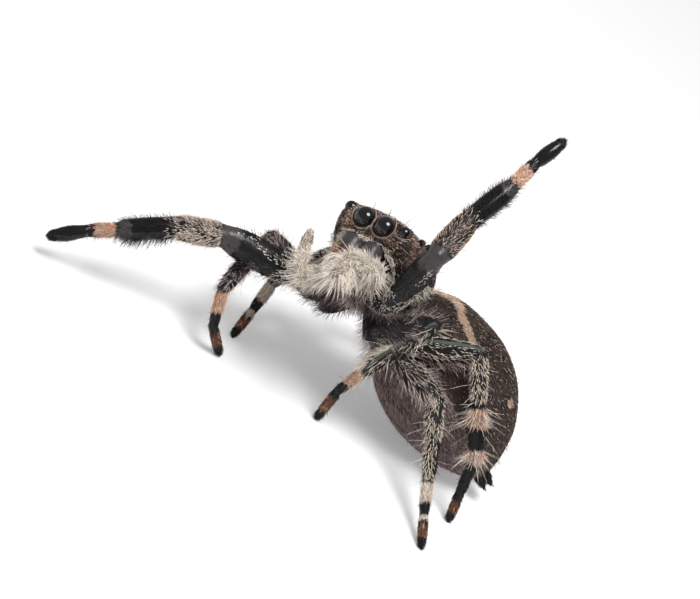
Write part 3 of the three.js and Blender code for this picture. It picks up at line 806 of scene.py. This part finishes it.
DOWN = (0, 0, -0.25)
CHEEKWARD = (0.5, 0.4, -0.7)
HAIRS = [
    # The lifted front legs.
    Hair("leg1 coxa", 150, 0.13, 0.034, 28, CREAM, WHITE),
    Hair("leg1 femur", 170, 0.14, 0.036, 26, CREAM, WHITE, (0, 0.3)),
    Hair("leg1 femur", 90, 0.16, 0.036, 24, CREAM, WHITE, (0.3, 0.6), (62, 16)),
    Hair("leg1 femur", 90, 0.16, 0.036, 24, CREAM, WHITE, (0.6, 0.9), (34, 14)),
    Hair("leg1 femur", 30, 0.42, 0.026, 62, BLACK, CHARCOAL, (0, 0.9), (0, 70)),
    Hair("leg1 femur", 20, 0.32, 0.024, 55, BLACK, CHARCOAL, (0.1, 1), (180, 70)),
    Hair("leg1 patella", 100, 0.22, 0.024, 40, BLUSH, FAWN, (0.12, 1)),
    Hair("leg1_right patella", 400, 0.24, 0.024, 40, BLUSH, CREAM, (0.12, 1), (70, 90)),
    Hair("leg1 patella", 30, 0.55, 0.018, 55, CREAM, MAUVE, (0.1, 1), (180, 80)),
    Hair("leg1 tibia", 110, 0.26, 0.024, 32, CREAM, WHITE, (0, 0.2)),
    Hair("leg1 tibia", 110, 0.24, 0.024, 64, BLACK, CHARCOAL),
    Hair("leg1 tibia", 240, 0.46, 0.024, 62, BLACK, CHARCOAL, (0.05, 1), (180, 45)),
    Hair("leg1 metatarsus", 170, 0.2, 0.024, 36, SALMON, BLUSH, (0, 0.74)),
    Hair("leg1 metatarsus", 60, 0.22, 0.022, 40, BLACK, CREAM, (0.6, 1)),
    Hair("leg1 metatarsus", 60, 0.3, 0.02, 60, BLACK, RUST, (0.2, 1), (180, 80)),
    Hair("leg1 tarsus", 160, 0.14, 0.022, 40, BLACK, CHARCOAL, around=(180, 80)),
    Hair("leg1 tarsus", 16, 0.12, 0.018, 26, BLACK, CHARCOAL, (0, 0.9), (0, 100)),
    Hair("leg1 tarsus", 260, 0.1, 0.022, 30, BLACK, CHARCOAL, (0.86, 1)),
    # The standing legs.
    Hair("leg coxa", 120, 0.45, 0.02, 50, MAUVE, SLATE),
    Hair("leg2/leg3/leg4 femur", 60, 0.66, 0.018, 48, MAUVE, BLUSH, (0.1, 1), (180, 80)),
    Hair("leg3/leg4 femur", 70, 0.2, 0.03, 24, IVORY, CREAM, around=(0, 130)),
    Hair("leg2 femur", 40, 0.3, 0.018, 40, SLATE, BLUSH),
    Hair("leg2/leg3 femur", 40, 0.7, 0.018, 54, MAUVE, CREAM, (0.5, 1)),
    Hair("leg3/leg4 patella", 190, 0.22, 0.03, 34, IVORY, CREAM),
    Hair("leg2_left patella/tibia", 440, 0.38, 0.028, 40, IVORY, WHITE, around=(180, 62)),
    Hair("leg2_right patella/tibia", 170, 0.36, 0.022, 36, MAUVE, BLUSH),
    Hair("leg2 patella/tibia", 70, 0.24, 0.026, 34, IVORY, CREAM, (0, 0.9), (20, 70)),
    Hair("leg3 tibia", 190, 0.22, 0.03, 34, IVORY, CREAM, around=(130, 70)),
    Hair("leg2/leg3/leg4 patella/tibia", 50, 0.26, 0.022, 40, BLACK, CHARCOAL),
    Hair("leg2 metatarsus", 110, 0.18, 0.025, 34, SALMON, CREAM, (0, 0.6)),
    Hair("leg3 metatarsus", 110, 0.2, 0.025, 34, IVORY, CREAM, (0.12, 0.6)),
    Hair("leg4 tibia", 170, 0.46, 0.022, 52, BLUSH, FAWN, (0.12, 0.42)),
    Hair("leg4 tibia", 34, 1.15, 0.02, 66, BLUSH, WHITE, (0.15, 0.4)),
    Hair("leg4 tibia", 190, 0.46, 0.022, 52, BLUSH, FAWN, (0.84, 1)),
    Hair("leg4 tibia", 50, 0.95, 0.02, 62, BLUSH, WHITE, (0.86, 1)),
    Hair("leg4 metatarsus", 150, 0.5, 0.022, 50, BLUSH, WHITE, (0, 0.16)),
    Hair("leg2/leg3/leg4 patella/tibia", 5, 0.9, 0.02, 66, CREAM, WHITE),
    Hair("leg2/leg3/leg4 metatarsus", 3, 0.6, 0.018, 62, CREAM, BLACK),
    Hair("leg2/leg3/leg4 metatarsus/tarsus", 30, 0.22, 0.02, 50, BLACK, CHARCOAL, (0.5, 1)),
    Hair("leg2/leg3/leg4 tarsus", 260, 0.12, 0.022, 40, BLACK, CHARCOAL, (0.86, 1)),
    # The palps: long hairs spread like a fan before the jaws, and short ones on the raised tip.
    Hair("palp palp0/palp1/palp2", 300, 0.34, 0.022, 46, CREAM, WHITE),
    Hair("palp_left palp2/palp3", 240, 0.4, 0.024, 60, CREAM, WHITE),
    Hair("palp_left palp3", 300, 0.3, 0.024, 74, CREAM, WHITE, (0.7, 1)),
    Hair("palp_left palp3", 330, 0.95, 0.026, 62, CREAM, WHITE, (0, 1), (180, 115), DOWN),
    Hair("palp_left palp3", 36, 0.85, 0.024, 58, UMBER, BRONZE, (0, 1), (180, 115), DOWN),
    Hair("palp_left palp0/palp1", 110, 0.8, 0.024, 46, CREAM, WHITE, (0, 1), (180, 120), CHEEKWARD),
    Hair("palp_right palp3", 120, 0.17, 0.022, 24, CREAM, TAUPE),
    Hair("palp_right palp0/palp1", 280, 0.7, 0.024, 60, CREAM, WHITE, comb=(-0.2, 0, -0.4)),
    Hair("palp_right palp2", 150, 0.55, 0.024, 56, CREAM, WHITE, (0, 0.7), comb=(-0.3, 0, -0.3)),
    # The head: a fringe over the jaws, cheeks, and thin hairs and bristles above.
    Hair(on_face_edge, 900, 0.17, 0.026, 46, CREAM, WHITE),
    Hair(on_head((0.9, 2.3), (2.0, 4.0), (-0.7, 0.45)), 170, 0.42, 0.024, 26, CREAM, WHITE, comb=DOWN),
    Hair(on_head((0, 2.3), (2.4, 5.2), (0.3, 2.1)), 90, 0.14, 0.026, 26, BLUSH, FAWN),
    Hair(on_head((0, 2.3), (2.4, 5.2), (0.3, 2.1)), 80, 0.13, 0.024, 26, BRONZE, BLUSH),
    Hair(on_head((0, 2.3), (-1, 5.2), (1.5, 2.2)), 40, 0.2, 0.018, 55, MAUVE, CREAM),
    Hair(on_head((0, 2.3), (-1, 3), (-1, 2.2)), 70, 0.2, 0.02, 34, BLUSH, MAUVE),
    Hair(on_head((0, 2.3), (2.6, 5), (1.4, 2.2)), 2.5, 0.5, 0.026, 75, BLACK, BLACK),
    Hair("jaw_right chelicera", 210, 0.3, 0.026, 24, RUST, SALMON, (0.2, 0.75), (0, 90)),
    Hair("jaw chelicera", 300, 0.6, 0.024, 40, CREAM, WHITE, (0.6, 1)),
    Hair("jaw chelicera", 160, 0.5, 0.024, 44, CREAM, WHITE, (0.3, 1), (180, 100), DOWN),
    Hair("mouth maxilla", 160, 0.14, 0.02, 40, CREAM, BLUSH, (0.7, 1)),
    Hair("mouth maxilla", 120, 0.32, 0.02, 50, MAUVE, SLATE, (0, 0.7)),
    # The abdomen: fine pale flecks, a thin dark pile, and longer hairs at both ends and below.
    Hair(on_abdomen((0, 1), (0, 1.9)), 44, 0.12, 0.024, 24, CREAM, MAUVE),
    Hair(on_abdomen((0, 1), (0, 1.9)), 20, 0.26, 0.016, 50, CHARCOAL, TAUPE),
    Hair(on_abdomen((0, 1), (1.7, 3.2)), 50, 0.26, 0.018, 34, MAUVE, BLUSH),
    Hair(on_abdomen((0, 0.08), (0, 3.2)), 50, 0.45, 0.018, 40, BLUSH, MAUVE),
    Hair(on_abdomen((0, 0.3), (1.8, 3.2)), 60, 0.8, 0.018, 60, MAUVE, BLUSH),
    Hair(on_abdomen((0.9, 1), (0, 3.2)), 40, 0.34, 0.018, 44, CHARCOAL, MAUVE),
    Hair("sternum/waist sternum/waist", 160, 0.6, 0.022, 50, MAUVE, BLUSH),
    Hair("leg1_right/leg2_right coxa/femur", 60, 0.5, 0.018, 50, MAUVE, SLATE, (0, 0.6), (180, 80)),
    Hair("spinnerets spinneret", 60, 0.22, 0.02, 30, BLACK, CHARCOAL),
]


# ---------- meshes ----------


def set_colours(mesh, colours):
    """Stores the marking: one colour per point."""
    layer = mesh.attributes.new("marking", "FLOAT_COLOR", "POINT")
    opaque = np.hstack([colours, np.ones((len(colours), 1))])
    layer.data.foreach_set("color", opaque.astype(np.float32).ravel())


def triangle_mesh(name, points, faces):
    """A mesh in metres from points in millimetres and rows of three corners."""
    mesh = bpy.data.meshes.new(name)
    mesh.vertices.add(len(points))
    mesh.vertices.foreach_set("co", (points * MM).astype(np.float32).ravel())
    mesh.loops.add(faces.size)
    mesh.loops.foreach_set("vertex_index", faces.astype(np.int32).ravel())
    mesh.polygons.add(len(faces))
    mesh.polygons.foreach_set("loop_start", np.arange(0, faces.size, 3, dtype=np.int32))
    mesh.update(calc_edges=True)
    mesh.shade_smooth()
    return mesh


def add_piece(mesh, material, nodes=()):
    """A visible piece, named as its mesh, on the only body. It stands for these CAD nodes."""
    piece = new_object(mesh.name, mesh, material)
    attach(piece, "root")
    if nodes:
        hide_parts(*nodes)


# ---------- materials ----------


def feed(node, **values):
    """Gives a node its settings and its sockets' values, or links a socket to another node's output."""
    for name, value in values.items():
        socket = node.inputs.get(name.replace("_", " "))
        if isinstance(value, bpy.types.NodeSocket):
            node.id_data.links.new(value, socket)
        elif socket:
            socket.default_value = value
        else:
            setattr(node, name, value)


def shader(name, **values):
    """A material and its main shader, with the values set on the shader's own sockets."""
    material = bpy.data.materials.new(name)
    material.use_nodes = True
    surface = material.node_tree.nodes["Principled BSDF"]
    feed(surface, **values)
    return material, surface


def add_node(material, kind, output, **values):
    """Adds a shader node and returns one of its outputs."""
    node = material.node_tree.nodes.new("ShaderNode" + kind)
    feed(node, **values)
    return node.outputs[output]


def fine_noise(material, size):
    """Noise whose lumps are so many millimetres across."""
    place = add_node(material, "TexCoord", "Object")
    return add_node(material, "TexNoise", "Fac", Vector=place, Scale=1 / (size * MM), Detail=3)


def marking(material, noise, low, high):
    """The stored colour, darker and lighter with the noise."""
    stored = add_node(material, "Attribute", "Color", attribute_name="marking")
    shade = add_node(material, "MapRange", "Result", Value=noise, To_Min=low, To_Max=high)
    return add_node(material, "VectorMath", "Vector", operation="SCALE", Vector=stored, Scale=shade)


def skin_material():
    """Cuticle: glossy where it is bare, dull under the coat, with a fine leathery grain."""
    material, surface = shader("cuticle", Specular_IOR_Level=0.3)
    grain = fine_noise(material, 0.06)
    gloss = add_node(material, "Attribute", "Fac", attribute_name="gloss")
    roughness = add_node(material, "MapRange", "Result", Value=gloss, To_Min=0.6, To_Max=0.15)
    bump = add_node(material, "Bump", "Normal", Strength=0.25, Distance=0.01 * MM, Height=grain)
    feed(surface, Base_Color=marking(material, grain, 0.7, 1.3), Roughness=roughness, Normal=bump)
    return material


def coat_material(name, roughness, **values):
    """Scale or hair: soft, hardly shining, in the stored colour."""
    material, surface = shader(name, Roughness=roughness, Specular_IOR_Level=0.15, **values)
    feed(surface, Base_Color=marking(material, fine_noise(material, 0.1), 0.85, 1.15))
    return material


def horn_material(name, colour):
    """Smooth horn with darker and paler patches."""
    material, surface = shader(name, Roughness=0.22, Specular_IOR_Level=0.5)
    dark, pale = (*colour * 0.55, 1), (*colour * 1.3, 1)
    patches = fine_noise(material, 0.12)
    mix = add_node(material, "Mix", "Result", data_type="RGBA", Factor=patches, A=dark, B=pale)
    feed(surface, Base_Color=mix)
    return material


CUTICLE = skin_material()
COAT = coat_material("scales", 0.5, Sheen_Weight=0.1, Sheen_Roughness=0.4)
BRISTLE = coat_material("bristles", 0.38)
EYE, _ = shader("eye_lens", Base_Color=(*EYE_BLACK, 1), Roughness=0.03, Specular_IOR_Level=0.55)
FANG = horn_material("fang_horn", FANG_RED)
CLAW = horn_material("claw_horn", BLACK * 2)

# ---------- the skin as a piece ----------

FLOOR_CLEARANCE = 0.004
UNDER_COAT = 0.5  # how much of the coat's colour the skin has; the rest is black
BARE_SHARE = 0.9  # the same where the skin is glossy and nearly bare
NEARLY_BARE = 0.6  # the gloss above which it is


def skin_marking(style):
    """The skin's colour: the coat's mean colour over black cuticle."""
    share = COLUMN["share"][style][:, None]
    mean = COLUMN["first"][style] * (1 - share) + COLUMN["second"][style] * share
    depth = np.where(COLUMN["gloss"][style] > NEARLY_BARE, BARE_SHARE, UNDER_COAT)
    return blend(BLACK, mean, depth)


def add_skin(mesh, points, style):
    """The skin, which stands for all CAD nodes but the eyes and the fangs."""
    mesh.name = "skin"
    mesh.vertices.foreach_set("co", (points * MM).astype(np.float32).ravel())
    set_colours(mesh, skin_marking(style))
    gloss = mesh.attributes.new("gloss", "FLOAT", "POINT")
    gloss.data.foreach_set("value", COLUMN["gloss"][style].astype(np.float32))
    mesh.shade_smooth()
    flesh = [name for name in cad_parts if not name.startswith(("eye_", "fang_"))]
    add_piece(mesh, CUTICLE, flesh)


skin_mesh = make_skin()
skin_points = read(skin_mesh.vertices, "co")
skin_points[:, 2] = np.maximum(skin_points[:, 2], FLOOR_CLEARANCE)
skin_mesh.vertices.foreach_set("co", skin_points.astype(np.float32).ravel())
skin_mesh.update()
skin_faces = triangles_of(skin_mesh)
skin_normals = read(skin_mesh.vertex_normals, "vector")
skin_spots = locate(skin_points)
add_skin(skin_mesh, skin_points, styles_at(skin_points, skin_spots))

# ---------- tufts ----------

Roots = namedtuple("Roots", "points normals lie spots style")
FACE_FORWARD = 4.2  # where the coat starts to turn outward round the face
FACE_MIDDLE = 1.1  # height of the point it turns from
FACING = (0.3, 0.8)  # how squarely the skin faces forward where that starts and where it is full


def lie_of_coat(points, normals, spots):
    """The way the coat lies: along each limb to its tip, backwards over the body, out on the face."""
    ways = np.zeros_like(points)
    ways[spots.part == 1] = abdomen.axes[1]
    for i, bone in enumerate(bones):
        ways[spots.part == i + 2] = unit(bone.end - bone.start)
    here = spots.part == 0
    sideways, back, up = inward(head, points[here]).T
    spread = sideways[:, None] * head.axes[0] + (up - FACE_MIDDLE)[:, None] * head.axes[2]
    facing_front = smooth_step(*FACING, -dot(normals[here], head.axes[1]))
    facing_front *= back < -FACE_FORWARD
    ways[here] = blend(head.axes[1], unit(spread), facing_front)
    return across(ways, normals)


def clear_of_eyes(points):
    clear = np.ones(len(points), bool)
    for row, side in EYE_KEYS:
        clear &= np.linalg.norm(points - eye_centre(row, side), axis=1) > EYES[row][3] + EYE_RIM
    return clear


def sprinkle(per_square_mm, faces):
    """Random places on these faces of the skin, evenly spread."""
    a, b, c = (skin_points[faces[:, i]] for i in range(3))
    areas = np.linalg.norm(np.cross(b - a, c - a), axis=1) / 2
    count = int(areas.sum() * per_square_mm)
    steps = (np.arange(count) + rng.random(count)) / count
    face = np.minimum(np.searchsorted(np.cumsum(areas) / areas.sum(), steps), len(areas) - 1)
    u, v = rng.random((2, count))
    flip = u + v > 1
    u, v = np.where(flip, 1 - u, u), np.where(flip, 1 - v, v)
    weights = np.stack([1 - u - v, u, v], 1)[:, :, None]
    corners = faces[face]
    points = (skin_points[corners] * weights).sum(1)
    normals = unit((skin_normals[corners] * weights).sum(1))
    spots = locate(points)
    roots = Roots(points, normals, lie_of_coat(points, normals, spots), spots, styles_at(points, spots))
    return picked(roots, clear_of_eyes(points))


def picked(rows, chosen):
    """The chosen rows of roots or spots, field by field."""
    fields = (picked(field, chosen) if isinstance(field, Spots) else field[chosen] for field in rows)
    return type(rows)(*fields)


def strayed(roots, spread):
    """The roots with the coat's lie turned a little at random."""
    turn = rng.normal(0, spread, len(roots.points))[:, None]
    return roots._replace(lie=unit(roots.lie + turn * np.cross(roots.normals, roots.lie)))


ROOT_WIDTH, TAPER, THICKNESS = 0.75, 0.4, 0.9  # a tuft's outline, with its width as one
LEAST_RISE = 0.1  # how far out of the skin a tuft of length one has to point


def grow(roots, length, width, lift, curl, rings, comb=(0, 0, 0)):
    """Tapered three-sided tufts, bent towards the skin: rings of three points, and a tip."""
    count = len(roots.points)
    length, width, lift, curl = (np.broadcast_to(v, count)[:, None] for v in (length, width, lift, curl))
    way = np.cos(lift) * roots.lie + np.sin(lift) * roots.normals + np.asarray(comb) @ head.axes
    rise = dot(way, roots.normals)[:, None]
    way = unit(way + np.maximum(LEAST_RISE - rise, 0) * roots.normals)
    side = unit(np.cross(way, roots.normals) + 1e-6)
    over = np.cross(side, way)
    layers = []
    for ring in range(rings):
        s = ring / rings
        middle = roots.points + length * (s * way - curl * s**2 * over)
        half = width * 0.5 * (ROOT_WIDTH if ring == 0 else (1 - s) ** TAPER)
        layers += [middle - half * side, middle + half * side, middle + half * THICKNESS * over]
    layers.append(roots.points + length * (way - curl * over))
    return np.stack(layers, 1)


def tuft_faces(rings):
    """A tuft's faces: one at its root, walls between its rings, and a point."""
    faces = [(0, 2, 1)]
    for ring in range(rings - 1):
        for corner in range(3):
            a, b = ring * 3 + corner, ring * 3 + (corner + 1) % 3
            faces += [(a, b, b + 3), (a, b + 3, a + 3)]
    last = (rings - 1) * 3
    faces += [(last + corner, last + (corner + 1) % 3, rings * 3) for corner in range(3)]
    return np.array(faces)


PATCH = 0.003  # how much of its map a tuft covers
MAP_EDGE, MAP_REACH = 0.005, 0.985  # the part of the map that tufts' places fill
CELL_EDGE = 0.02  # the empty margin of a part's cell on the map
SKEW = 0.15  # how far a tuft's third side is shifted on the map, so that no face is flat there
PAINTED_ROOT_SHADE = 0.68  # painted shade: how dark a tuft is at its root, for the shadow that falls among the coat's roots


def map_places(spots):
    """Places on the unwrap: each part's length and girth fill a cell of its own."""
    parts, cell = np.unique(spots.part, return_inverse=True)
    columns = math.ceil(math.sqrt(len(parts)))
    girth = spots.angle / (2 * np.pi) + 0.5
    column, row = cell % columns, cell // columns
    reach = 1 - 2 * CELL_EDGE
    across_cell, along_cell = CELL_EDGE + reach * girth, CELL_EDGE + reach * spots.t
    return np.stack([(column + across_cell) / columns, (row + along_cell) / columns], 1)


def add_coat(kind, group, tufts, colours, spots, material):
    """One piece of coat, each tuft's colour darker at its root with painted shade."""
    count, corners = tufts.shape[:2]
    points = tufts.reshape(-1, 3)
    points[:, 2] = np.maximum(points[:, 2], FLOOR_CLEARANCE)
    rings = (corners - 1) // 3
    faces = tuft_faces(rings)
    all_faces = (faces[None] + (np.arange(count) * corners)[:, None, None]).reshape(-1, 3)
    mesh = triangle_mesh(f"{kind}_{group}", points, all_faces)
    # painted shade: the ring at each tuft's root is darkened
    shade = np.ones((1, corners, 1))
    shade[:, :3] = PAINTED_ROOT_SHADE
    set_colours(mesh, (colours[:, None] * shade).reshape(-1, 3))
    u = np.append(np.tile([0.0, 0.5, 1.0], rings), 0.5)
    v = np.append(np.repeat(np.arange(rings) / rings, 3) + np.tile([0, 0, SKEW], rings), 1.0)
    patch = np.stack([u, np.minimum(v, 1)], 1)[faces].reshape(-1, 2) * PATCH
    on_map = MAP_EDGE + MAP_REACH * np.clip(map_places(spots), 0, 1)
    layer = mesh.uv_layers.new(name="OFBake")
    layer.data.foreach_set("uv", (on_map[:, None] + patch[None]).astype(np.float32).ravel())
    add_piece(mesh, material)


def group_of(part, angle):
    """The name of the piece that the coat on this part belongs to."""
    names = ["head", "abdomen"]
    for bone in bones:
        names.append(bone.limb if bone.limb.startswith(("leg", "palp")) else "under")
    names = np.array(names, "U20")[part]
    for body in ("head", "abdomen"):
        names[(names == body) & (angle < 0)] = f"{body}_right"
        names[names == body] = f"{body}_left"
    return names


CLUMP = 0.3  # how far across the coat's paler and darker, thicker and thinner clumps are
# A factor's least value in them, what is added to it, and the lumps over which that is added.
SCALE_CLUMPS = (0.4, 1.2, 0.3, 0.7)
HAIR_CLUMPS = (0.35, 0.65, 0.35, 0.6)
# How much tufts differ: the spread of their lie, and the ranges of the factors on their measures.
SCALE_STRAY, HAIR_STRAY = 0.25, 0.35
SCALE_RANGES = {"length": (0.7, 1.3), "width": (0.8, 1.2), "lift": (0.6, 1.4), "shade": (0.65, 1.25)}
HAIR_RANGES = {"length": (0.55, 1.3), "width": (0.8, 1.2), "curl": (-0.08, 0.2), "shade": (0.92, 1.1)}
HAIR_LIFT_SPREAD = 0.25
HAIR_LIFTS = (5, 88)  # degrees
SCALE_CURL = 0.1
SCALE_RINGS, HAIR_RINGS = 2, 4
SHORT = 0.31  # hairs shorter than this need no more rings than scales


def clumped(points, least, added, low, high):
    """A factor that differs from clump to clump."""
    return least + added * smooth_step(low, high, lumps(points, CLUMP))


def grow_scales():
    """The short lying coat."""
    most = COLUMN["density"].max()
    roots = sprinkle(most, skin_faces)
    roots = picked(roots, rng.random(len(roots.points)) < COLUMN["density"][roots.style] / most)
    groups = group_of(roots.spots.part, roots.spots.angle)
    for name in np.unique(groups):
        own = strayed(picked(roots, groups == name), SCALE_STRAY)
        count = len(own.points)
        style = {field: rows[own.style] for field, rows in COLUMN.items()}
        length = style["length"] * rng.uniform(*SCALE_RANGES["length"], count)
        width = style["width"] * rng.uniform(*SCALE_RANGES["width"], count)
        lift = np.radians(style["lift"] * rng.uniform(*SCALE_RANGES["lift"], count))
        tufts = grow(own, length, width, lift, SCALE_CURL, SCALE_RINGS)
        light = rng.random(count) < style["share"] * clumped(own.points, *SCALE_CLUMPS)
        colours = np.where(light[:, None], style["second"], style["first"])
        colours = colours * rng.uniform(*SCALE_RANGES["shade"], count)[:, None]
        add_coat("scales", name, tufts, colours, own.spots, COAT)


def grow_hairs():
    """The hairs over the coat. A piece has all the hairs of one part that are alike in rings."""
    grown = {}
    for hair in HAIRS:
        test = on_limbs(hair.where, hair.span, hair.around) if isinstance(hair.where, str) else hair.where
        near = test(skin_points, skin_spots)[skin_faces].any(1)
        roots = sprinkle(hair.density, skin_faces[near])
        roots = picked(roots, test(roots.points, roots.spots) & (roots.style != STYLE["bare"]))
        thick = rng.random(len(roots.points)) < clumped(roots.points, *HAIR_CLUMPS)
        roots = strayed(picked(roots, thick), HAIR_STRAY)
        count = len(roots.points)
        length = hair.length * rng.uniform(*HAIR_RANGES["length"], count)
        width = hair.width * rng.uniform(*HAIR_RANGES["width"], count)
        lift = np.radians(np.clip(hair.lift * rng.normal(1, HAIR_LIFT_SPREAD, count), *HAIR_LIFTS))
        curl = rng.uniform(*HAIR_RANGES["curl"], count)
        kind, rings = ("fuzz", SCALE_RINGS) if hair.length < SHORT else ("hairs", HAIR_RINGS)
        tufts = grow(roots, length, width, lift, curl, rings, hair.comb)
        colours = blend(hair.first, hair.second, rng.random(count))
        colours = colours * rng.uniform(*HAIR_RANGES["shade"], count)[:, None]
        groups = group_of(roots.spots.part, roots.spots.angle)
        for group in np.unique(groups):
            own = groups == group
            grown.setdefault((kind, group), []).append((tufts[own], colours[own], picked(roots.spots, own)))
    for (kind, group), parts in grown.items():
        tufts, colours, spots = zip(*parts)
        spots = Spots(*map(np.concatenate, zip(*spots)))
        add_coat(kind, group, np.concatenate(tufts), np.concatenate(colours), spots, BRISTLE)


# The ring round an eye: its gap to the eye and the factors on it, its hairs, and their measures.
RING_GAP, RING_GAPS = 0.035, (0.8, 1.3)
RING_HAIRS = {"front_middle": 130, "front_side": 70}
RING_LENGTHS, RING_WIDTH, RING_LIFT, RING_CURL = (0.07, 0.14), 0.016, 0.35, 0.1
RING_SPREAD = 0.35  # how far its hairs point away from the eye rather than along the ring
RING_BRONZE = 0.7  # the share of bronze in its darkest hairs


def ring_eyes():
    """A thin ring of short pale hairs round each front eye."""
    tree = BVHTree.FromPolygons(skin_points.tolist(), skin_faces.tolist())
    points, normals, lie = [], [], []
    sideways, back, up = head.axes
    for (row, hairs), side in itertools.product(RING_HAIRS.items(), SIDES):
        middle = eye_centre(row, side)
        for angle in np.linspace(0, 2 * np.pi, hairs, endpoint=False):
            out = sideways * math.cos(angle) + up * math.sin(angle)
            radius = EYES[row][3] + RING_GAP * rng.uniform(*RING_GAPS)
            place, normal, _, _ = tree.ray_cast((middle + radius * out - back).tolist(), back.tolist())
            if place is None:
                continue
            points.append(place)
            normals.append(unit(np.array(normal) - back))
            lie.append(sideways * -math.sin(angle) + up * math.cos(angle) + RING_SPREAD * out)
    points, normals = np.array(points), np.array(normals)
    roots = Roots(points, normals, across(np.array(lie), normals), locate(points), None)
    length = rng.uniform(*RING_LENGTHS, len(points))
    tufts = grow(roots, length, RING_WIDTH, RING_LIFT, RING_CURL, HAIR_RINGS)
    colours = blend(BLUSH, BRONZE, rng.random(len(points)) * RING_BRONZE)
    add_coat("rings", "eyes", tufts, colours, roots.spots, BRISTLE)


grow_scales()
grow_hairs()
ring_eyes()

# ---------- eyes, fangs and claws ----------


for row, side in EYE_KEYS:
    lens = ball_loft(eye_centre(row, side), EYES[row][3], sides=48, rings=31)
    add_piece(loft_mesh(f"lens_{row}_{side}", [lens]), EYE, [f"eye_{row}_{side}"])


CONE_ROOT = 0.4  # how far a cone's root bulges, with its radius as one


def curved_cone(points, radii, sides=12, count=14):
    """A tapering tube through points, closed at both ends."""
    path, widths = spline(points, count), spline([(r,) for r in radii], count)[:, 0]
    along = unit(np.gradient(path, axis=0))
    first = across(head.axes[0] + 0.3 * head.axes[2], along)  # no cone here runs this way
    second = np.cross(along, first)
    cos, sin = circle(sides)
    rings = path[:, None] + widths[:, None, None] * (
        cos[None, :, None] * first[:, None] + sin[None, :, None] * second[:, None]
    )
    root = path[0] - along[0] * widths[0] * CONE_ROOT
    return closed_loft(rings, root, path[-1] + along[-1] * widths[-1])


for side, sign in SIDES.items():
    fang = curved_cone(outward(head, np.array(FANG_HOOK) * (sign, 1, 1)), FANG_RADII)
    add_piece(loft_mesh(f"fang_horn_{side}", [fang]), FANG, [f"fang_{side}"])


CLAW_GAP, CLAW_RADII = 0.06, (0.03, 0.025, 0.006)
# A claw's points from the leg's tip: sideways in gaps, along the leg and towards its upper side.
CLAW_HOOK = ((1, 0, 0), (1.1, 0.06, 0.02), (1.1, 0.09, -0.04))
CLAW_HEIGHT = 0.03  # the lowest a claw's middle line comes
CLAW_ROOT = 0.5  # how far past the foot's last joint that line starts, with the radius there as one


def add_claws():
    """Two small hooked claws at each leg's tip."""
    claws = []
    for bone in bones:
        if bone.kind != "tarsus":
            continue
        along = unit(bone.end - bone.start)
        tip = bone.end + along * bone.radii[2] * CLAW_ROOT
        for sign in SIDES.values():
            apart = sign * CLAW_GAP * bone.flank
            hook = [tip + apart * gaps + along * out + bone.dorsal * rise for gaps, out, rise in CLAW_HOOK]
            hook = np.maximum(hook, [-np.inf, -np.inf, CLAW_HEIGHT])
            claws.append(curved_cone(hook, CLAW_RADII, sides=8))
    add_piece(loft_mesh("claws", claws), CLAW)


add_claws()

# ---------- floor, light and camera ----------


LAMP_TOWARDS = (0.52, 0.52, 0.67)  # in the camera's axes
LAMP_DISTANCE, LAMP_SIZE, LAMP_POWER = 100.0, 56.0, 0.12
SKY_STRENGTH = 0.45
FLOOR_GREY, FLOOR_GLOW = 0.75, 0.25


def view_axes():
    """The camera's right, up and backward directions in the row's frame."""
    azimuth, elevation, roll = map(math.radians, (VIEW_AZIMUTH, VIEW_ELEVATION, VIEW_ROLL))
    aim = Matrix.Rotation(azimuth, 3, "Z") @ Matrix.Rotation(math.pi / 2 - elevation, 3, "X")
    return np.array(aim @ Matrix.Rotation(roll, 3, "Z")).T


def stand(name, data, axes, origin):
    """An object without a material, turned to these axes."""
    matrix = Matrix(axes.T.tolist()).to_4x4()
    matrix.translation = origin * MM
    thing = new_object(name, data)
    thing.matrix_world = matrix
    return thing


def add_camera():
    axes = view_axes()
    data = bpy.data.cameras.new("camera")
    data.sensor_width = SENSOR_WIDTH
    data.lens = SENSOR_WIDTH * VIEW_DISTANCE / VIEW_WIDTH
    data.clip_start, data.clip_end = 0.001, 10
    middle = head.origin - np.array(WAIST_IN_VIEW) @ axes
    bpy.context.scene.camera = stand("camera", data, axes, middle + axes[2] * VIEW_DISTANCE)


def add_lamp():
    """A large round soft lamp, shining on the middle of the animal."""
    axes = view_axes()
    back = unit(LAMP_TOWARDS) @ axes
    side = across(axes[0], back)
    data = bpy.data.lights.new("flash", "AREA")
    data.shape = "DISK"
    data.size = LAMP_SIZE * MM
    data.energy = LAMP_POWER
    centre = np.mean(cad_bounds, 0) / MM
    stand("flash", data, np.array([side, np.cross(back, side), back]), centre + back * LAMP_DISTANCE)


def add_floor():
    """A pale floor that looks white to the camera and keeps the shadow."""
    material, surface = shader("floor", Base_Color=(FLOOR_GREY, FLOOR_GREY, FLOOR_GREY, 1), Roughness=0.9)
    seen = material.node_tree.nodes.new("ShaderNodeMath")
    seen.operation = "MAXIMUM"
    for socket, ray in zip(seen.inputs, ("Is Camera Ray", "Is Glossy Ray")):
        material.node_tree.links.new(add_node(material, "LightPath", ray), socket)
    glow = add_node(material, "MapRange", "Result", Value=seen.outputs["Value"], To_Max=FLOOR_GLOW)
    feed(surface, Emission_Color=(1, 1, 1, 1), Emission_Strength=glow)
    mesh = bpy.data.meshes.new("floor")
    mesh.from_pydata([(-1, -1, 0), (1, -1, 0), (1, 1, 0), (-1, 1, 0)], [], [(0, 1, 2, 3)])
    new_object("floor", mesh, material)


def light_world():
    world = bpy.data.worlds.new("studio")
    world.use_nodes = True
    feed(world.node_tree.nodes["Background"], Color=(1, 1, 1, 1), Strength=SKY_STRENGTH)
    bpy.context.scene.world = world


add_camera()
add_lamp()
add_floor()
light_world()
bpy.context.scene.view_settings.view_transform = "Standard"
